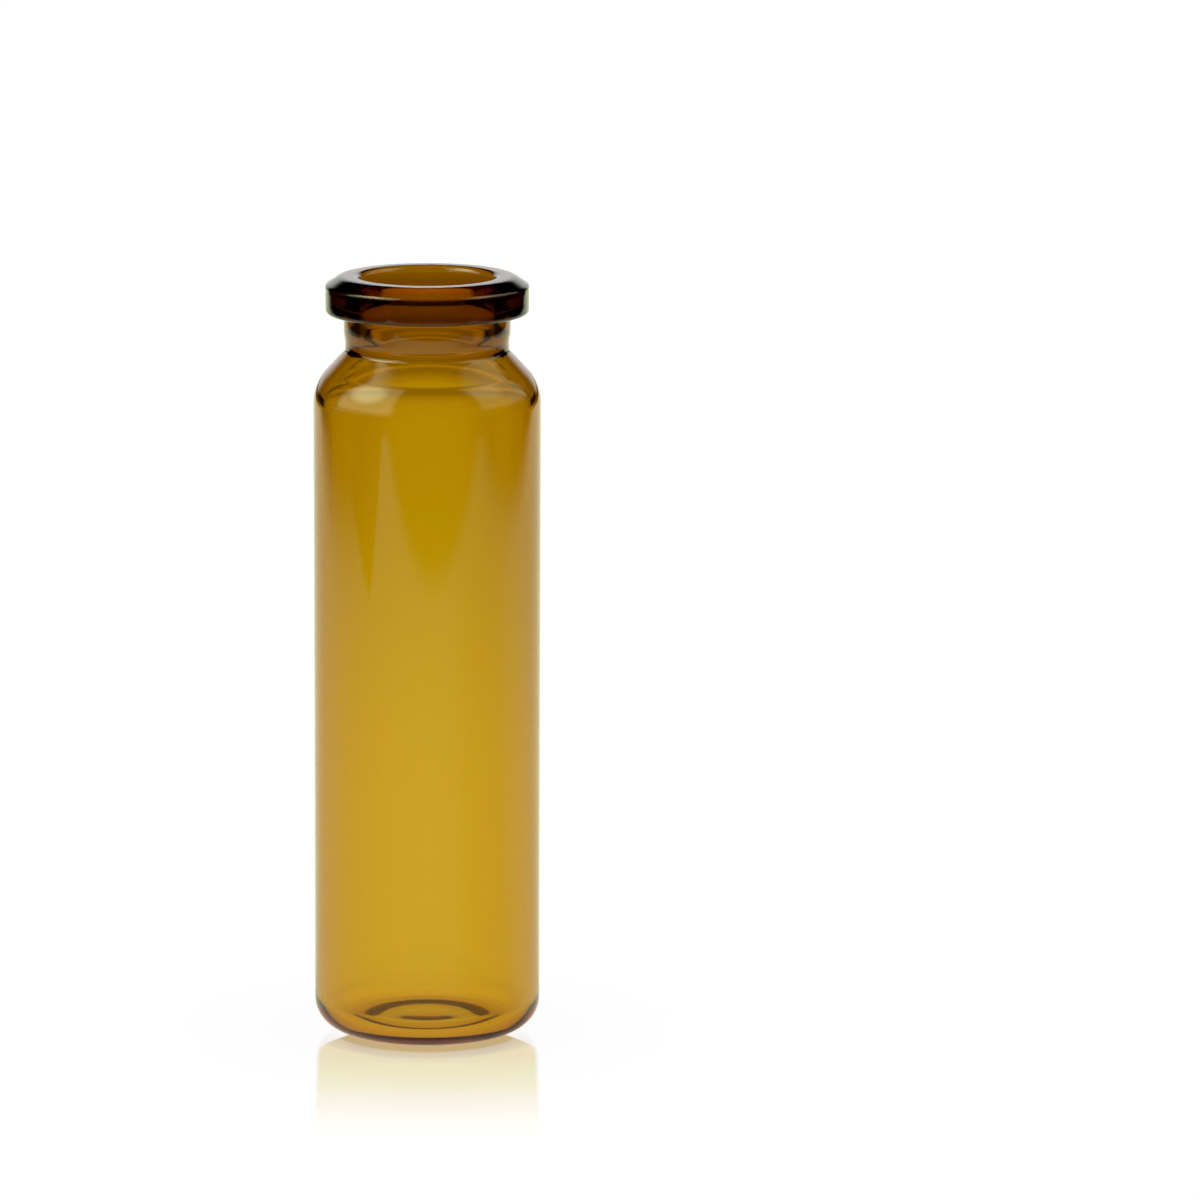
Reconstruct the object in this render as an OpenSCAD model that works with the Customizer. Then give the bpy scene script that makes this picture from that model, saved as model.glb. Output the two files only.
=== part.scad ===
// Amber glass sample vial with a crimp-top finish, drawn from one length of tubing.
// Every size is in millimetres. The axis is Z and the vial stands on Z = 0.

/* [Body] */
// Height from the standing ring to the top of the lip
overall_h = 76; // [60:0.5:110]
// Outside diameter of the tube
body_d = 22.4; // [21.5:0.1:26]
// Thickness of the tube wall
wall_t = 1; // [0.8:0.05:1.4]

/* [Base] */
// Diameter of the ring that the vial stands on, at its outer edge
stand_d = 13.8; // [13.4:0.2:14.6]
// Width of the flat on the standing ring
stand_w = 0.2; // [0.15:0.05:0.6]
// Slope of the base between the standing ring and the heel, in degrees
base_slope = 12; // [8:1:14]
// Radius of the heel outside
heel_r = 3; // [2.4:0.1:3.4]
// Radius of the corner inside, where the wall meets the floor
floor_r = 1.9; // [1:0.1:2.4]
// Height of the floor inside, above the standing ring
base_t = 1.55; // [1.4:0.05:2.4]
// Height of the recess under the base, at its level part
punt_h = 0.5; // [0.4:0.05:0.7]
// Diameter of the level part of the recess
punt_flat_d = 8.8; // [8.6:0.2:9.6]
// Diameter of the shallow sag in the middle of the recess
sag_d = 7.8; // [6:0.2:8.4]
// Height of the sag
sag_h = 0.25; // [0.1:0.05:0.35]

/* [Shoulder] */
// Radius of the shoulder outside
shoulder_r = 4.7; // [3:0.1:6]
// Angle of the shoulder cone, from vertical, in degrees
shoulder_angle = 43; // [38:1:50]
// Radius of the hollow outside, where the shoulder turns into the neck
neck_fillet_r = 0.5; // [0.3:0.1:1]
// Radius inside, where the shoulder turns into the bore
bore_blend_r = 1.6; // [0.8:0.1:2.5]

/* [Neck] */
// Outside diameter of the neck under the crown
neck_d = 16.4; // [15.6:0.1:17]
// Outside diameter of the waist, where the neck meets the shoulder
waist_d = 16.1; // [15.4:0.1:16.4]
// Height from the shoulder to the underside of the crown
neck_h = 3.5; // [2.6:0.1:6]
// Diameter of the bore
bore_d = 13.3; // [12.4:0.1:14]

/* [Crown] */
// Outside diameter of the crown
crown_d = 20; // [19.4:0.1:20.6]
// Height of the crown
crown_h = 3.7; // [3.2:0.1:5]
// Diameter at the outer edge of the flat top
crown_top_d = 17.2; // [16.4:0.1:17.6]
// Height of the bevel around the top
bevel_h = 0.9; // [0.5:0.05:1.3]
// Radius of the edge between the flat top and the bevel
bevel_top_r = 1.4; // [0.6:0.1:1.5]
// Radius of the edge between the bevel and the land
bevel_edge_r = 0.4; // [0.2:0.1:0.6]
// Radius of the edge under the crown
crown_edge_r = 0.4; // [0.2:0.1:0.6]
// Radius of the lip inside the mouth
lip_r = 0.6; // [0.3:0.1:0.7]

/* [Hidden] */
$fn = 180;
amber = [0.72, 0.47, 0.07, 0.85];

body_r = body_d / 2;
inner_r = body_r - wall_t;
bore_r = bore_d / 2;
neck_r = neck_d / 2;
waist_r = waist_d / 2;
crown_r = crown_d / 2;
crown_top_r = crown_top_d / 2;
stand_r = stand_d / 2;
punt_r = stand_r - stand_w;
punt_flat_r = punt_flat_d / 2;
sag_r = sag_d / 2;
overshoot = 1;

// Heights of the crown
crown_z = overall_h - crown_h;
bevel_z = overall_h - bevel_h;
bevel_angle = atan(bevel_h / (crown_r - crown_top_r));

// Neck and shoulder: the cone runs at a tangent between the two outer arcs
cone_normal = [cos(shoulder_angle), sin(shoulder_angle)];
cone_run = [-sin(shoulder_angle), cos(shoulder_angle)];
waist_z = crown_z - neck_h;
// Shares of the neck's height that the upright waist and its taper take
waist_share = 0.2;
taper_share = 0.3;
waist_h = waist_share * neck_h;
taper_h = taper_share * neck_h;
fillet_centre = [waist_r + neck_fillet_r, waist_z];
fillet_end = fillet_centre - neck_fillet_r * cone_normal;
shoulder_end_x = body_r - shoulder_r + shoulder_r * cone_normal.x;
cone_length = (shoulder_end_x - fillet_end.x) / sin(shoulder_angle);
shoulder_end = fillet_end - cone_length * cone_run;
shoulder_centre = shoulder_end - shoulder_r * cone_normal;

// The inside of the shoulder lies one wall below the outside of its cone
inner_shoulder_r = shoulder_r - wall_t;
inner_end = shoulder_end - wall_t * cone_normal;
blend_x = bore_r + bore_blend_r;
blend_z = (inner_end * cone_normal + bore_blend_r - blend_x * cone_normal.x) / cone_normal.y;
blend_centre = [blend_x, blend_z];
blend_end = blend_centre - bore_blend_r * cone_normal;

// Heel: the base cone runs at a tangent into the heel arc
heel_foot = [body_r - heel_r + heel_r * sin(base_slope), 0];
heel_foot_z = (heel_foot.x - stand_r) * tan(base_slope);
heel_centre = [body_r - heel_r, heel_foot_z + heel_r * cos(base_slope)];

// Under the base, the recess and its sag each change height in two equal arcs,
// which are level at both ends and meet halfway
flank_arc_r = s_arc_radius(punt_r - punt_flat_r, punt_h);
flank_middle = [(punt_flat_r + punt_r) / 2, punt_h / 2];
sag_arc_r = s_arc_radius(sag_r, sag_h);
sag_z = punt_h - sag_h;
sag_middle = [sag_r / 2, sag_z + sag_h / 2];

// Radius of the two equal arcs that climb "rise" over a width of "run"
function s_arc_radius(run, rise) = run / (2 * sin(2 * atan(rise / run)));

// Distance from a sharp corner to where its rounding starts, for faces that
// meet there with a turn of "turn" degrees
function corner_reach(radius, turn) = radius * tan(turn / 2);

// A disc whose rim is the rounding of a corner
module disc_at(centre, radius) {
    translate(centre)
        circle(r = radius);
}

module crown_profile() {
    top_reach = corner_reach(bevel_top_r, bevel_angle);
    edge_reach = corner_reach(bevel_edge_r, 90 - bevel_angle);
    bevel_run = [cos(bevel_angle), -sin(bevel_angle)];
    top_corner = [crown_top_r, overall_h];
    edge_corner = [crown_r, bevel_z];
    polygon([
        [0, crown_z],
        [crown_r - crown_edge_r, crown_z],
        [crown_r, crown_z + crown_edge_r],
        edge_corner - [0, edge_reach],
        edge_corner - edge_reach * bevel_run,
        top_corner + top_reach * bevel_run,
        top_corner - [top_reach, 0],
        [0, overall_h]
    ]);
    disc_at([crown_r - crown_edge_r, crown_z + crown_edge_r], crown_edge_r);
    disc_at([crown_r - bevel_edge_r, bevel_z - edge_reach], bevel_edge_r);
    disc_at([crown_top_r - top_reach, overall_h - bevel_top_r], bevel_top_r);
}

module body_profile() {
    difference() {
        union() {
            polygon([
                [0, 0],
                [stand_r, 0],
                [heel_foot.x, heel_foot_z],
                [body_r, heel_centre.y],
                [body_r, shoulder_centre.y],
                shoulder_end,
                fillet_end,
                [fillet_centre.x, waist_z],
                [waist_r, waist_z],
                [waist_r, waist_z + waist_h],
                [neck_r, waist_z + waist_h + taper_h],
                [neck_r, crown_z],
                [0, crown_z]
            ]);
            disc_at(heel_centre, heel_r);
            disc_at(shoulder_centre, shoulder_r);
        }
        disc_at(fillet_centre, neck_fillet_r);
    }
}

module cavity_profile() {
    difference() {
        union() {
            polygon([
                [0, base_t],
                [inner_r - floor_r, base_t],
                [inner_r, base_t + floor_r],
                [inner_r, shoulder_centre.y],
                inner_end,
                blend_end,
                [bore_r, blend_centre.y],
                [bore_r, overall_h - lip_r],
                [bore_r + lip_r, overall_h],
                [bore_r + lip_r, overall_h + overshoot],
                [0, overall_h + overshoot]
            ]);
            disc_at([inner_r - floor_r, base_t + floor_r], floor_r);
            disc_at(shoulder_centre, inner_shoulder_r);
        }
        disc_at(blend_centre, bore_blend_r);
        disc_at([bore_r + lip_r, overall_h - lip_r], lip_r);
    }
}

// The hollow under the base, with the sag of glass in its middle
module recess_profile() {
    difference() {
        union() {
            polygon([
                [0, -overshoot],
                [0, sag_z],
                sag_middle,
                [sag_r, punt_h],
                [punt_flat_r, punt_h],
                flank_middle,
                [punt_r, 0],
                [punt_r, -overshoot]
            ]);
            intersection() {
                disc_at([sag_r, punt_h - sag_arc_r], sag_arc_r);
                translate([0, -overshoot])
                    square([sag_r, overshoot + punt_h]);
            }
            intersection() {
                disc_at([punt_flat_r, punt_h - flank_arc_r], flank_arc_r);
                translate([0, -overshoot])
                    square([punt_r, overshoot + punt_h]);
            }
        }
        disc_at([0, sag_z + sag_arc_r], sag_arc_r);
        disc_at([punt_r, flank_arc_r], flank_arc_r);
    }
}

module vial() {
    color(amber)
        rotate_extrude()
            difference() {
                union() {
                    body_profile();
                    crown_profile();
                }
                cavity_profile();
                recess_profile();
            }
}

vial();
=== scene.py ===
"""Amber glass sample vial on a glossy white table, in metres, Z up."""
import math

import bpy
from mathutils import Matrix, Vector


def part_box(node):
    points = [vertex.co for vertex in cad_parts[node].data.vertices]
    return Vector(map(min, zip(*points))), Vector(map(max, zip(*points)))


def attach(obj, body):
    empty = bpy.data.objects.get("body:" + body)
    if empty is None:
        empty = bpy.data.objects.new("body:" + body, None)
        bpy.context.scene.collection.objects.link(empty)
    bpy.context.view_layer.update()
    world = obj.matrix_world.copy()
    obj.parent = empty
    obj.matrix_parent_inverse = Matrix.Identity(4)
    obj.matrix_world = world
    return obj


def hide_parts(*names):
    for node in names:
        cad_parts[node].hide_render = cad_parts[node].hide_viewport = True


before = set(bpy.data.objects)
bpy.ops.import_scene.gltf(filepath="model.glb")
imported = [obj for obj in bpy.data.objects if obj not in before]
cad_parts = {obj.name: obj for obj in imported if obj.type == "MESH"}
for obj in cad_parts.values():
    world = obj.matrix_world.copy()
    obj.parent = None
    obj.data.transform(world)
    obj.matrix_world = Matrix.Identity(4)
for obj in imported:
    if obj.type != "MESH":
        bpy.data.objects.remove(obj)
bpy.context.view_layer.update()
low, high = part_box("vial")

MM = 0.001

# The vial's outline, in millimetres. Its sizes are the solid's, but for FLOOR_R, the corner
# inside between the wall and the floor, which is 1.9 there
HEIGHT = (high[2] - low[2]) / MM
BODY_R = min(high[0] - low[0], high[1] - low[1]) / 2 / MM
WALL = 1.0
STAND_R = 6.9
PUNT_R = 6.7
BASE_SLOPE = math.radians(12)
HEEL_R = 3.0
FLOOR_R = 2.15
BASE_T = 1.55
PUNT_H = 0.5
PUNT_FLAT_R = 4.4
SAG_R = 3.9
SAG_H = 0.25
SHOULDER_R = 4.7
SHOULDER_ANGLE = math.radians(43)
NECK_FILLET_R = 0.5
BORE_BLEND_R = 1.6
NECK_R = 8.2
WAIST_R = 8.05
NECK_H = 3.5
WAIST_SHARE = 0.2
TAPER_SHARE = 0.3
BORE_R = 6.65
CROWN_R = 10.0
CROWN_H = 3.7
CROWN_TOP_R = 8.6
BEVEL_H = 0.9
BEVEL_TOP_R = 1.4
BEVEL_EDGE_R = 0.4
CROWN_EDGE_R = 0.4
LIP_R = 0.6

# How finely the outline is turned, and the angle from which an edge is sharp
SEGMENTS = 256
SHARP_ANGLE = math.radians(32)
# A point nearer to the axis than this, in millimetres, is on it
ON_AXIS = 1e-9

# The soft draw lines up the tube: how many times each wave goes round, its strength and phase
DRAW_LINES = (
    (2, 0.5, 0.3),
    (3, 0.35, 1.9),
    (7, 0.16, 4.0),
    (11, 0.1, 2.2),
    (17, 0.06, 5.1),
    (26, 0.035, 0.7),
)
# Their depth, the heights where they start and are full, and those where they end and are
# still full, in millimetres
DRAW_DEPTH = 0.004
DRAW_START = (4, 7)
DRAW_END = (68, 64)
# How far they wander sideways on their way up, and how fast
WANDER = 0.012
WANDER_RATE = 0.11
# The inside has other draw lines than the outside
OUTER_SEED = 0.0
INNER_SEED = 1.7

# The glass: how it bends light, what it lets through, and how dense that colour is
GLASS_IOR = 1.52
GLASS_COLOUR = (0.912, 0.829, 0.0)
GLASS_DENSITY = 3200

# Painted shade: the pressed crown's glass is coloured darker than the drawn tube's, on its
# bevels, in its bore, on its upright land, and in a dark painted shade line round the front of
# the land
CROWN_SHADE = (0.64, 0.42, 0.5)
BORE_SHADE = (1.0, 0.75, 0.6)
LAND_SHADE = (0.5, 0.72, 0.7)
SHADE_LINE_COLOUR = (0.008, 0.008, 0.008)
# The crown's painted shade fades in over this much on either side of its underside, in metres
CROWN_BLUR = 0.0003
# The distances from the axis between which the land's painted shade fades in and the bore's
# fades out
LAND_EDGE = (0.0094, 0.0097)
BORE_EDGE = (0.0068, 0.0072)
# The painted shade line fades out between these places along Y, from the front to the sides
FRONT_EDGE = (-0.006, -0.001)
# Its height, and half its width without and with its soft edge
SHADE_LINE_Z = 0.07469
SHADE_LINE_HALF = 0.00018
SHADE_LINE_SOFT = 0.00038

# The skin: a fine grain, drawn out along the tube, on a slow unevenness
GRAIN_SCALE = 420
GRAIN_STRETCH = (1, 1, 0.04)
GRAIN_SHARE = 0.5
UNEVEN_SCALE = 90
SKIN_BUMP = 0.05
SKIN_DEPTH = 0.00004
# Its greatest roughness, and the span of the unevenness over which it comes up
SKIN_ROUGH = 0.012
SKIN_ROUGH_SPAN = (0.45, 0.75)

WHITE = (1, 1, 1)
# The far room and table, seen through the glass
ROOM_TINT = (1.0, 0.78, 0.55)
# The table, mirrored in the skin of the glass, and the part of it that is next to the heel
MIRROR_TINT = (0.96, 1.0, 0.7)
FOOT_TINT = (1.0, 0.64, 0.46)
# The windows at the sides, mirrored in the skin of the glass
WINDOW_TINT = (0.92, 1.0, 0.56)

# A painted warm shadow ring on the table round the vial's foot: distances from the axis and
# colours
FOOT_SHADOW = (
    (0.0085, (0.66, 0.53, 0.36)),
    (0.0094, (0.66, 0.55, 0.38)),
    (0.0101, (0.80, 0.75, 0.80)),
    (0.0112, (0.86, 0.85, 0.85)),
    (0.0128, (1.0, 1.0, 1.0)),
)
FOOT_SHADOW_SPAN = 0.02
# The light that the vial casts on the table before it: distances in front and colours
CAST_LIGHT = (
    (0.011, (0.91, 0.82, 0.58)),
    (0.017, (0.93, 0.89, 0.62)),
    (0.021, (0.95, 0.90, 0.68)),
    (0.028, (0.98, 0.93, 0.82)),
    (0.036, (0.99, 0.98, 0.92)),
    (0.043, (1.0, 1.0, 1.0)),
)
CAST_SPAN = 0.05
# Half its width, how much its rounded corners take from that, and its soft edge
CAST_HALF = 0.0107
CAST_CORNER = 0.0035
CAST_BLUR = 0.0003
# The table's colour farther and farther from the vial, seen through the glass
FAR_TABLE = ((0.2, (1.0, 1.0, 1.0)), (0.4, (1.0, 0.9, 0.75)), (0.6, ROOM_TINT))
FAR_TABLE_SPAN = 0.8

# Distances from the axis between which the table next to the heel gives way to the rest
HEEL_EDGE = (0.012, 0.022)
# The table under plain light, its own light in the camera and the share of plain light there
PAPER = (0.9, 0.9, 0.9)
TABLE_LIGHT = 1.03
PLAIN_SHARE = 0.04
# The gloss of the table beside the vial, and its roughness
TABLE_SHINE = 0.16
TABLE_ROUGH = 0.03
# The strength of the table's light in the skin of the glass, and its gain next to the heel
MIRROR_LIGHT = 1.35
HEEL_GAIN = 1.35
# The world's light on plain surfaces
AMBIENT = 0.75

# The table, and how far it lies under the vial, so that their faces never meet
TABLE_HALF = 3.0
TABLE_DROP = 0.00002

# What the lamps are aimed at, and the camera, which looks down by CAMERA_TILT degrees
LAMP_AIM = (0, 0, 0.06)
CAMERA_PLACE = (0, -0.68155, 0.17664)
CAMERA_TILT = 11.0485
CAMERA_LENS = 210.65
CAMERA_SENSOR = 36
CAMERA_SHIFT = 0.144
CAMERA_NEAR = 0.01

# How often light may bounce in the glass and on it
GLASS_BOUNCES = 40
GLOSSY_BOUNCES = 24


# ---------------------------------------------------------------- outline
def line_to(points, r, z, pieces=1):
    """Carries the outline straight to (r, z)."""
    r0, z0 = points[-1]
    for i in range(1, pieces + 1):
        t = i / pieces
        points.append((r0 + (r - r0) * t, z0 + (z - z0) * t))


def arc_to(points, centre, radius, start, end, step=5.0):
    """Carries the outline round an arc, given in degrees, whose start is the last point."""
    pieces = max(2, math.ceil(abs(end - start) / step))
    for i in range(1, pieces + 1):
        a = math.radians(start + (end - start) * i / pieces)
        points.append((centre[0] + radius * math.cos(a), centre[1] + radius * math.sin(a)))


def s_curve_to(points, r, z, pieces=10):
    """Carries the outline to (r, z) in two equal arcs that are level at both ends."""
    r0, z0 = points[-1]
    run, rise = r - r0, z - z0
    turn = 2 * math.atan2(abs(rise), abs(run))
    radius = abs(run) / (2 * math.sin(turn))
    side = math.copysign(1, run)
    up = math.copysign(1, rise)
    for i in range(1, pieces + 1):
        a = turn * i / pieces
        points.append((r0 + side * radius * math.sin(a), z0 + up * radius * (1 - math.cos(a))))
    for i in range(pieces - 1, -1, -1):
        a = turn * i / pieces
        points.append((r - side * radius * math.sin(a), z - up * radius * (1 - math.cos(a))))


def outside():
    """From the middle of the base, under it, up the wall and over the crown to the bore."""
    crown_z = HEIGHT - CROWN_H
    waist_z = crown_z - NECK_H
    waist_top = waist_z + WAIST_SHARE * NECK_H
    taper_top = waist_z + (WAIST_SHARE + TAPER_SHARE) * NECK_H

    # The shoulder's cone runs at a tangent between its two arcs
    nx, nz = math.cos(SHOULDER_ANGLE), math.sin(SHOULDER_ANGLE)
    turn = math.degrees(SHOULDER_ANGLE)
    fillet_centre = (WAIST_R + NECK_FILLET_R, waist_z)
    fillet_end = (WAIST_R + NECK_FILLET_R * (1 - nx), waist_z - NECK_FILLET_R * nz)
    shoulder_x = BODY_R - SHOULDER_R + SHOULDER_R * nx
    fall = (shoulder_x - fillet_end[0]) / nz
    shoulder_end = (shoulder_x, fillet_end[1] - fall * nx)
    shoulder_centre = (shoulder_end[0] - SHOULDER_R * nx, shoulder_end[1] - SHOULDER_R * nz)

    # The base's cone runs at a tangent into the heel
    foot_x = BODY_R - HEEL_R + HEEL_R * math.sin(BASE_SLOPE)
    foot_z = (foot_x - STAND_R) * math.tan(BASE_SLOPE)
    heel_centre = (BODY_R - HEEL_R, foot_z + HEEL_R * math.cos(BASE_SLOPE))
    heel_start = -90 + math.degrees(BASE_SLOPE)

    # The bevel's two edges are rounded
    bevel = math.atan2(BEVEL_H, CROWN_R - CROWN_TOP_R)
    bevel_turn = 90 - math.degrees(bevel)
    edge_reach = BEVEL_EDGE_R * math.tan((math.pi / 2 - bevel) / 2)
    top_reach = BEVEL_TOP_R * math.tan(bevel / 2)
    bevel_z = HEIGHT - BEVEL_H
    land_bottom = (CROWN_R - CROWN_EDGE_R, crown_z + CROWN_EDGE_R)
    land_top = (CROWN_R - BEVEL_EDGE_R, bevel_z - edge_reach)
    top_centre = (CROWN_TOP_R - top_reach, HEIGHT - BEVEL_TOP_R)
    normal = math.radians(bevel_turn)
    bevel_end = (
        top_centre[0] + BEVEL_TOP_R * math.cos(normal),
        top_centre[1] + BEVEL_TOP_R * math.sin(normal),
    )

    points = [(0.0, PUNT_H - SAG_H)]
    s_curve_to(points, SAG_R, PUNT_H)
    line_to(points, PUNT_FLAT_R, PUNT_H)
    s_curve_to(points, PUNT_R, 0.0, pieces=12)
    line_to(points, STAND_R, 0.0)
    line_to(points, foot_x, foot_z, pieces=3)
    arc_to(points, heel_centre, HEEL_R, heel_start, 0, step=4)
    line_to(points, BODY_R, shoulder_centre[1], pieces=26)
    arc_to(points, shoulder_centre, SHOULDER_R, 0, turn, step=3)
    line_to(points, *fillet_end, pieces=3)
    arc_to(points, fillet_centre, NECK_FILLET_R, 180 + turn, 180, step=8)
    line_to(points, WAIST_R, waist_top, pieces=2)
    line_to(points, NECK_R, taper_top, pieces=2)
    line_to(points, NECK_R, crown_z, pieces=2)
    line_to(points, CROWN_R - CROWN_EDGE_R, crown_z, pieces=2)
    arc_to(points, land_bottom, CROWN_EDGE_R, -90, 0, step=9)
    line_to(points, CROWN_R, bevel_z - edge_reach, pieces=4)
    arc_to(points, land_top, BEVEL_EDGE_R, 0, bevel_turn, step=8)
    line_to(points, *bevel_end, pieces=3)
    arc_to(points, top_centre, BEVEL_TOP_R, bevel_turn, 90, step=5)
    line_to(points, BORE_R + LIP_R, HEIGHT, pieces=2)
    arc_to(points, (BORE_R + LIP_R, HEIGHT - LIP_R), LIP_R, 90, 180, step=9)
    return points, shoulder_centre, shoulder_end


def inside(points, shoulder_centre, shoulder_end):
    """Down the bore, round the inside of the shoulder, down the wall and across the floor."""
    nx, nz = math.cos(SHOULDER_ANGLE), math.sin(SHOULDER_ANGLE)
    turn = math.degrees(SHOULDER_ANGLE)
    inner_r = BODY_R - WALL
    inner_end = (shoulder_end[0] - WALL * nx, shoulder_end[1] - WALL * nz)
    blend_x = BORE_R + BORE_BLEND_R
    blend_z = (inner_end[0] * nx + inner_end[1] * nz + BORE_BLEND_R - blend_x * nx) / nz
    floor_centre = (inner_r - FLOOR_R, BASE_T + FLOOR_R)
    line_to(points, BORE_R, blend_z, pieces=5)
    arc_to(points, (blend_x, blend_z), BORE_BLEND_R, 180, 180 + turn, step=5)
    line_to(points, *inner_end, pieces=3)
    arc_to(points, shoulder_centre, SHOULDER_R - WALL, turn, 0, step=3)
    line_to(points, inner_r, BASE_T + FLOOR_R, pieces=26)
    arc_to(points, floor_centre, FLOOR_R, 0, -90, step=5)
    line_to(points, 0.0, BASE_T, pieces=6)


# ------------------------------------------------------------------- mesh
def draw_line(angle, z, seed):
    """How deep the draw lines are at an angle and a height: 0 is flush, 1 is full depth."""
    total = 0.0
    for k, amp, phase in DRAW_LINES:
        wander = WANDER * k * math.sin(z * WANDER_RATE + seed)
        total += amp * math.sin(k * angle + phase * (1 + seed) + wander)
    return 0.5 + 0.5 * math.tanh(total)


def ease_in(value, start, full):
    """0 at start, 1 at full, straight in between."""
    return min(1.0, max(0.0, (value - start) / (full - start)))


def lathe(name, points, depth):
    """A closed turned skin. Its outline starts and ends on the axis."""
    verts, rings = [], []
    for index, (r, z) in enumerate(points):
        if r < ON_AXIS:
            rings.append([len(verts)])
            verts.append((0.0, 0.0, z * MM))
            continue
        # The draw lines sink into the glass, from the outside and from the inside
        outer = index < len(points) / 2
        seed = OUTER_SEED if outer else INNER_SEED
        inward = depth * (ease_in(z, *DRAW_START) * ease_in(z, *DRAW_END))
        if not outer:
            inward = -inward
        rings.append(range(len(verts), len(verts) + SEGMENTS))
        for s in range(SEGMENTS):
            a = 2 * math.pi * s / SEGMENTS
            rr = (r - inward * draw_line(a, z, seed)) * MM
            verts.append((rr * math.cos(a), rr * math.sin(a), z * MM))

    faces = []
    for a, b in zip(rings, rings[1:]):
        for s in range(SEGMENTS):
            t = (s + 1) % SEGMENTS
            if len(a) == 1:
                faces.append((a[0], b[t], b[s]))
            elif len(b) == 1:
                faces.append((a[s], a[t], b[0]))
            else:
                faces.append((a[s], a[t], b[t], b[s]))

    mesh = bpy.data.meshes.new(name)
    mesh.from_pydata(verts, [], faces)
    mesh.validate()
    mesh.shade_smooth()
    mesh.set_sharp_from_angle(angle=SHARP_ANGLE)
    piece = bpy.data.objects.new(name, mesh)
    bpy.context.scene.collection.objects.link(piece)
    return piece


# -------------------------------------------------------------- materials
class Nodes:
    """Short hand for wiring a node tree."""

    def __init__(self, tree):
        self.tree = tree
        tree.nodes.clear()

    def add(self, kind, **values):
        node = self.tree.nodes.new(kind)
        for key, value in values.items():
            setattr(node, key, value)
        return node

    def link(self, a, b):
        self.tree.links.new(a, b)

    def feed(self, socket, value):
        """Sets a socket to a number or a colour, or links it to another socket."""
        if isinstance(value, (int, float)):
            socket.default_value = value
        elif isinstance(value, tuple):
            socket.default_value = (*value, 1)
        else:
            self.link(value, socket)

    def calc(self, operation, *values, clamp=False):
        node = self.add("ShaderNodeMath", operation=operation, use_clamp=clamp)
        for socket, value in zip(node.inputs, values):
            self.feed(socket, value)
        return node.outputs[0]

    def times(self, a, b):
        return self.calc("MULTIPLY", a, b)

    def plus(self, a, b):
        return self.calc("ADD", a, b)

    def minus(self, a, b):
        return self.calc("SUBTRACT", a, b)

    def spread(self, value, low_in, high_in, low_out, high_out):
        """Maps a value smoothly from one range to another."""
        node = self.add("ShaderNodeMapRange", interpolation_type="SMOOTHSTEP")
        self.link(value, node.inputs["Value"])
        ends = {"From Min": low_in, "From Max": high_in, "To Min": low_out, "To Max": high_out}
        for key, number in ends.items():
            node.inputs[key].default_value = number
        return node.outputs[0]

    def rise(self, value, start, end, top=1.0):
        """0 up to start, top from end on."""
        return self.spread(value, start, end, 0.0, top)

    def fall(self, value, start, end, top=1.0):
        """Top up to start, 0 from end on."""
        return self.spread(value, start, end, top, 0.0)

    def bump(self, value, centre, inner, outer):
        """1 within inner of the centre, 0 outside outer."""
        off = self.calc("ABSOLUTE", self.minus(value, centre))
        return self.fall(off, inner, outer)

    def choose(self, factor, a, b):
        """a where factor is 0, b where it is 1, for numbers."""
        node = self.add("ShaderNodeMix", data_type="FLOAT")
        for index, value in ((0, factor), (2, a), (3, b)):
            self.feed(node.inputs[index], value)
        return node.outputs[0]

    def blend(self, factor, a, b, how="MIX"):
        """a where factor is 0, b where it is 1, for colours."""
        node = self.add("ShaderNodeMix", data_type="RGBA", blend_type=how)
        for index, value in ((0, factor), (6, a), (7, b)):
            self.feed(node.inputs[index], value)
        return node.outputs[2]

    def mix_shader(self, factor, a, b):
        """a where factor is 0, b where it is 1, for shaders."""
        node = self.add("ShaderNodeMixShader")
        for socket, value in zip(node.inputs, (factor, a, b)):
            self.feed(socket, value)
        return node.outputs[0]

    def emission(self, colour, strength):
        node = self.add("ShaderNodeEmission")
        self.feed(node.inputs["Color"], colour)
        self.feed(node.inputs["Strength"], strength)
        return node.outputs[0]

    def noise(self, vector, scale, detail):
        node = self.add("ShaderNodeTexNoise")
        self.link(vector, node.inputs["Vector"])
        node.inputs["Scale"].default_value = scale
        node.inputs["Detail"].default_value = detail
        return node.outputs[0]

    def split(self, vector):
        """The x, y and z of a vector."""
        node = self.add("ShaderNodeSeparateXYZ")
        self.link(vector, node.inputs[0])
        return node.outputs["X"], node.outputs["Y"], node.outputs["Z"]

    def bearing(self, x, y):
        """Where (x, y) lies, in degrees: 0 in front, -90 on the left, 90 on the right."""
        turn = self.calc("ARCTAN2", x, self.times(y, -1.0))
        return self.times(turn, math.degrees(1))

    def beyond(self, x, y, point, normal):
        """How far (x, y) lies beyond the line through a point, along the line's normal."""
        nx, ny = normal
        length = math.hypot(nx, ny)
        along = self.plus(self.times(x, nx / length), self.times(y, ny / length))
        return self.minus(along, (point[0] * nx + point[1] * ny) / length)

    def ramp(self, value, stops, span):
        """A smooth run of colours over a value from 0 to span."""
        node = self.add("ShaderNodeValToRGB")
        node.color_ramp.interpolation = "EASE"
        self.link(self.calc("DIVIDE", value, span, clamp=True), node.inputs[0])
        elements = node.color_ramp.elements
        while len(elements) < len(stops):
            elements.new(1.0)
        for element, (at, colour) in zip(elements, stops):
            element.position = at / span
            element.color = (*colour, 1.0)
        return node.outputs[0]


def new_material(name):
    """A material, its nodes and its output."""
    material = bpy.data.materials.new(name)
    material.use_nodes = True
    n = Nodes(material.node_tree)
    return material, n, n.add("ShaderNodeOutputMaterial")


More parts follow.
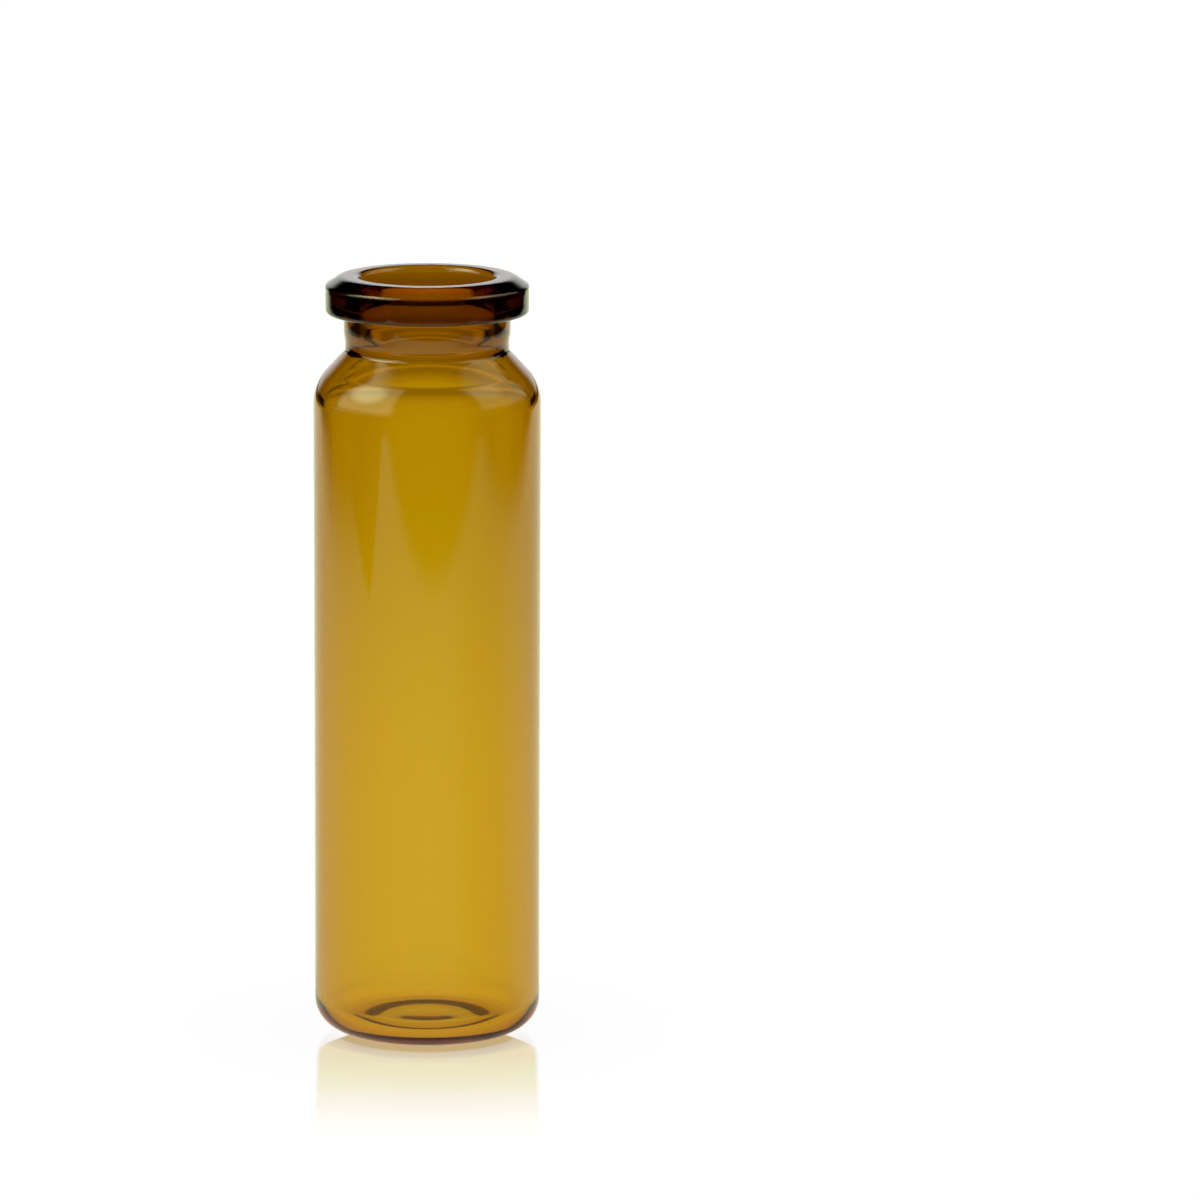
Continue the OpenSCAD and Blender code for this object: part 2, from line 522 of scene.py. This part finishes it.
def painted_crown_shade(n, place):
    """Painted shade: none on the tube. The crown's glass is painted a denser brown, most of all
    on its upright land.
    """
    x, y, z = n.split(place)
    across = n.calc("SQRT", n.plus(n.calc("POWER", x, 2.0), n.calc("POWER", y, 2.0)))
    crown_z = (HEIGHT - CROWN_H) * MM
    in_crown = n.rise(z, crown_z - CROWN_BLUR, crown_z + CROWN_BLUR)
    on_land = n.rise(across, *LAND_EDGE)
    in_bore = n.fall(across, *BORE_EDGE)
    crown = n.blend(in_bore, n.blend(on_land, CROWN_SHADE, LAND_SHADE), BORE_SHADE)
    # A dark painted shade line marks the front of the land just under the bevel
    on_front = n.times(on_land, n.fall(y, *FRONT_EDGE))
    on_shade_line = n.times(n.bump(z, SHADE_LINE_Z, SHADE_LINE_HALF, SHADE_LINE_SOFT), on_front)
    crown = n.blend(on_shade_line, crown, SHADE_LINE_COLOUR)
    return n.blend(in_crown, WHITE, crown)


def amber_glass():
    """Clear glass whose amber deepens with the length of the light's path in it."""
    material, n, out = new_material("amber_glass")
    place = n.add("ShaderNodeTexCoord").outputs["Object"]
    glass = n.add("ShaderNodeBsdfPrincipled")
    glass.inputs["Transmission Weight"].default_value = 1.0
    glass.inputs["IOR"].default_value = GLASS_IOR
    # The base colour carries the crown's painted shade
    n.link(painted_crown_shade(n, place), glass.inputs["Base Color"])

    # A fire-polished skin: clear, with a faint long grain up the tube
    stretch = n.add("ShaderNodeMapping")
    stretch.inputs["Scale"].default_value = GRAIN_STRETCH
    n.link(place, stretch.inputs["Vector"])
    grain = n.noise(stretch.outputs[0], GRAIN_SCALE, detail=2)
    uneven = n.noise(place, UNEVEN_SCALE, detail=1)
    bump = n.add("ShaderNodeBump")
    bump.inputs["Strength"].default_value = SKIN_BUMP
    bump.inputs["Distance"].default_value = SKIN_DEPTH
    n.link(n.plus(n.times(grain, GRAIN_SHARE), uneven), bump.inputs["Height"])
    n.link(bump.outputs[0], glass.inputs["Normal"])
    n.link(n.rise(uneven, *SKIN_ROUGH_SPAN, SKIN_ROUGH), glass.inputs["Roughness"])

    absorb = n.add("ShaderNodeVolumeAbsorption")
    n.feed(absorb.inputs["Color"], GLASS_COLOUR)
    n.feed(absorb.inputs["Density"], GLASS_DENSITY)
    n.link(absorb.outputs[0], out.inputs["Volume"])
    n.link(glass.outputs[0], out.inputs["Surface"])
    return material


def table_in_view(n, paper, x, y, away):
    """White with a faint mirror image of the vial. There is a painted warm shadow at the vial's
    foot, and in front a cream light, as wide as the tube."""
    # A painted warm shadow at the foot, which shows, with the cast light, only in front of the
    # vial
    foot = n.ramp(away, FOOT_SHADOW, FOOT_SHADOW_SPAN)
    cast = n.ramp(n.times(y, -1.0), CAST_LIGHT, CAST_SPAN)
    # Beside the foot, the cast light narrows in a rounded corner
    corner = n.calc("POWER", n.rise(y, -0.011, -0.001), 2.0)
    edge = n.minus(CAST_HALF, n.times(corner, CAST_CORNER))
    within = n.fall(n.minus(n.calc("ABSOLUTE", x), edge), -CAST_BLUR, CAST_BLUR)
    in_cast = n.times(within, n.fall(y, -0.002, 0.0))
    painted_light_and_shadow = n.blend(in_cast, WHITE, n.blend(1.0, foot, cast, "MULTIPLY"))
    lit = n.mix_shader(PLAIN_SHARE, n.emission(painted_light_and_shadow, TABLE_LIGHT), paper)

    # The mirror image fades away from the vial, and is weaker under its heel
    gloss = n.add("ShaderNodeBsdfGlossy")
    gloss.inputs["Roughness"].default_value = TABLE_ROUGH
    under_heel = n.spread(away, 0.008, 0.0115, 0.35, 1.0)
    shine = n.times(n.fall(away, 0.008, 0.04, TABLE_SHINE), under_heel)
    return n.mix_shader(shine, lit, gloss.outputs[0])


def table_through_glass(n, x, away, swing):
    """White near the vial, dimmer and warmer towards the far side of the room."""
    near = n.spread(away, 0.08, 0.32, 1.08, 0.84)
    far_band = n.times(n.bump(away, 0.88, 0.08, 0.2), 0.3)
    far = n.plus(n.spread(away, 0.38, 0.6, 1.0, 0.52), far_band)
    # It is dark far out on the left and right, but for a pale patch there on each side
    left = n.spread(x, -0.33, -0.21, 0.05, 1.0)
    right = n.spread(x, 0.25, 0.37, 1.0, 0.05)
    beside = n.times(n.bump(swing, 103, 12, 20), n.fall(away, 0.4, 0.5, 0.85))
    sides = n.calc("MAXIMUM", n.times(left, right), beside)
    # A little more light next to the foot
    foot_light = n.plus(1.0, n.times(n.bump(away, 0.011, 0.0022, 0.005), 0.1))
    strength = n.times(n.times(near, far), n.times(sides, foot_light))
    return n.emission(n.ramp(away, FAR_TABLE, FAR_TABLE_SPAN), strength)


def table_in_mirror(n, x, y, away, bearing, swing):
    """A white sheet that ends in front and at both sides, with a dark wedge cut into its left
    front corner, and a paler room far beyond it on the left."""
    # The sheet grows brighter from the front to the back, and dips at the right front
    level = n.plus(n.spread(swing, 50, 115, 0.47, 0.61), n.rise(swing, 125, 165, 0.2))
    dip = n.times(n.bump(bearing, 57, 12, 38), 0.33)
    level = n.times(level, n.minus(1.0, dip))

    front = n.fall(n.beyond(x, y, (0.0, -0.268), (0.11, -1.0)), -0.03, 0.012)
    left = n.fall(n.beyond(x, y, (-0.31, 0.0), (-1.0, 0.0)), -0.08, 0.03)
    right = n.fall(n.beyond(x, y, (0.325, 0.0), (1.0, 0.0)), -0.055, 0.012)
    wedge_tip = (-0.206, -0.119)
    wedge = n.times(
        n.rise(n.beyond(x, y, wedge_tip, (-0.568, -0.823)), -0.006, 0.018),
        n.rise(n.beyond(x, y, wedge_tip, (-0.917, 0.398)), -0.006, 0.01),
    )
    sheet = n.times(n.times(front, left), n.times(right, n.minus(1.0, wedge)))
    far_room = n.times(n.rise(away, 0.7, 1.5, 0.5), n.bump(bearing, -75, 25, 45))

    # The heel mirrors a brighter and warmer table
    near_heel = n.spread(away, *HEEL_EDGE, HEEL_GAIN, 1.0)
    level = n.times(n.plus(n.times(level, sheet), far_room), near_heel)
    colour = n.blend(n.rise(away, *HEEL_EDGE), FOOT_TINT, MIRROR_TINT)
    return n.emission(colour, n.times(level, MIRROR_LIGHT))


def table_top():
    """White and glossy. It shows one light to the camera, another in the mirror of the glass
    and another through the glass."""
    material, n, out = new_material("table_white")
    path = n.add("ShaderNodeLightPath")
    place = n.add("ShaderNodeNewGeometry").outputs["Position"]
    flat = n.add("ShaderNodeVectorMath", operation="MULTIPLY")
    flat.inputs[1].default_value = (1, 1, 0)
    n.link(place, flat.inputs[0])
    length = n.add("ShaderNodeVectorMath", operation="LENGTH")
    n.link(flat.outputs[0], length.inputs[0])
    away = length.outputs["Value"]
    x, y, _ = n.split(place)
    bearing = n.bearing(x, y)
    swing = n.calc("ABSOLUTE", bearing)

    diffuse = n.add("ShaderNodeBsdfDiffuse")
    n.feed(diffuse.inputs["Color"], PAPER)
    paper = diffuse.outputs[0]
    in_view = table_in_view(n, paper, x, y, away)
    through_glass = table_through_glass(n, x, away, swing)
    in_mirror = table_in_mirror(n, x, y, away, bearing, swing)
    shader = n.mix_shader(path.outputs["Is Glossy Ray"], paper, in_mirror)
    shader = n.mix_shader(path.outputs["Is Transmission Ray"], shader, through_glass)
    shader = n.mix_shader(path.outputs["Is Camera Ray"], shader, in_view)
    n.link(shader, out.inputs["Surface"])
    return material


def heading(azimuth, elevation):
    """A direction. Azimuth is from the camera's side, to the right, in degrees."""
    a, e = math.radians(azimuth), math.radians(elevation)
    return Vector((math.sin(a) * math.cos(e), -math.cos(a) * math.cos(e), math.sin(e)))


def studio_world():
    """White for the camera. Through the glass it is dim low down, under a bright ceiling. The
    skin of the glass mirrors a pale strip low at the back and a soft window on each side."""
    world = bpy.data.worlds.new("studio")
    bpy.context.scene.world = world
    world.use_nodes = True
    n = Nodes(world.node_tree)
    out = n.add("ShaderNodeOutputWorld")
    back = n.add("ShaderNodeBackground")
    path = n.add("ShaderNodeLightPath")
    mirrored = path.outputs["Is Glossy Ray"]
    through = path.outputs["Is Transmission Ray"]
    direction = n.add("ShaderNodeTexCoord").outputs["Generated"]
    x, along, up = n.split(direction)
    bearing = n.bearing(x, along)

    def window(azimuth, half, edge, sill, head, light):
        """A soft upright window. The sill and the head are sines of their elevation."""
        pane = n.times(n.rise(up, *sill, light), n.fall(up, *head))
        return n.times(n.bump(bearing, azimuth, half, edge), pane)

    def lobe(azimuth, elevation, core, rim, light):
        """A round glow: full within core degrees of its middle, and gone at rim degrees."""
        facing = n.add("ShaderNodeVectorMath", operation="DOT_PRODUCT")
        n.link(direction, facing.inputs[0])
        facing.inputs[1].default_value = heading(azimuth, elevation)
        rim_cos, core_cos = math.cos(math.radians(rim)), math.cos(math.radians(core))
        return n.rise(facing.outputs["Value"], rim_cos, core_cos, light)

    # Seen through the glass
    walls = n.spread(up, 0.3, 0.42, 0.5, 0.27)
    ceiling = n.times(n.rise(up, 0.44, 0.52, 0.9), n.spread(up, 0.7, 0.85, 1.0, 0.7))
    seen_through = n.plus(walls, ceiling)

    # Mirrored in its skin. The back begins and is full at these shares of a direction along Y
    at_back = (0.8, 0.94)
    strip = n.times(n.rise(along, *at_back), n.spread(up, 0.27, 0.45, 1.03, 0.03))
    left = n.plus(
        window(azimuth=-70, half=28, edge=38, sill=(-0.06, 0.12), head=(0.82, 0.93), light=1.95),
        lobe(azimuth=-75, elevation=37, core=1, rim=24, light=4.4),
    )
    right = n.plus(
        window(azimuth=92, half=30, edge=38, sill=(0.06, 0.26), head=(0.72, 0.86), light=1.05),
        lobe(azimuth=80, elevation=45, core=4, rim=24, light=1.2),
    )
    seen_mirrored = n.plus(strip, n.plus(left, right))

    strength = n.choose(mirrored, AMBIENT, seen_mirrored)
    strength = n.choose(through, strength, seen_through)
    strength = n.choose(path.outputs["Is Camera Ray"], strength, 1.0)
    tint = n.blend(n.times(mirrored, n.fall(along, *at_back)), WHITE, WINDOW_TINT)
    n.link(n.blend(through, tint, ROOM_TINT), back.inputs["Color"])
    n.link(strength, back.inputs["Strength"])
    n.link(back.outputs[0], out.inputs["Surface"])


# ------------------------------------------------------------------ stage
def floor_plane():
    """The table, which belongs to the studio."""
    h = TABLE_HALF
    mesh = bpy.data.meshes.new("table")
    mesh.from_pydata([(-h, -h, 0), (h, -h, 0), (h, h, 0), (-h, h, 0)], [], [(0, 1, 2, 3)])
    table = bpy.data.objects.new("table", mesh)
    bpy.context.scene.collection.objects.link(table)
    table.location.z = -TABLE_DROP
    mesh.materials.append(table_top())


def softbox(name, azimuth, elevation, distance, width, height, power):
    """A soft lamp aimed at the shoulder. It is not seen in the glass."""
    aim = Vector(LAMP_AIM)
    spot = aim + distance * heading(azimuth, elevation)
    data = bpy.data.lights.new(name, "AREA")
    data.shape = "RECTANGLE"
    data.size = width
    data.size_y = height
    data.energy = power
    lamp = bpy.data.objects.new(name, data)
    lamp.location = spot
    lamp.rotation_euler = (aim - spot).to_track_quat("-Z", "Y").to_euler()
    lamp.visible_camera = False
    lamp.visible_transmission = False
    lamp.visible_glossy = False
    bpy.context.scene.collection.objects.link(lamp)


def camera():
    data = bpy.data.cameras.new("camera")
    data.sensor_width = CAMERA_SENSOR
    data.lens = CAMERA_LENS
    data.shift_x = CAMERA_SHIFT
    data.clip_start = CAMERA_NEAR
    eye = bpy.data.objects.new("camera", data)
    eye.location = CAMERA_PLACE
    eye.rotation_euler = (math.radians(90 - CAMERA_TILT), 0, 0)
    bpy.context.scene.collection.objects.link(eye)
    bpy.context.scene.camera = eye


# ------------------------------------------------------------------ build
outline, centre, end = outside()
inside(outline, centre, end)
vial = lathe("glass_vial", outline, DRAW_DEPTH)
vial.data.materials.append(amber_glass())
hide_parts("vial")
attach(vial, "root")

floor_plane()
studio_world()
softbox(
    "softbox_left", azimuth=-68, elevation=24, distance=1.0, width=0.35, height=0.35, power=0.4
)
softbox(
    "softbox_right", azimuth=75, elevation=24, distance=1.0, width=0.45, height=0.4, power=0.3
)
camera()

scene = bpy.context.scene
scene.view_settings.view_transform = "Standard"
scene.cycles.max_bounces = GLASS_BOUNCES
scene.cycles.transmission_bounces = GLASS_BOUNCES
scene.cycles.glossy_bounces = GLOSSY_BOUNCES
scene.cycles.caustics_refractive = True
scene.cycles.caustics_reflective = True
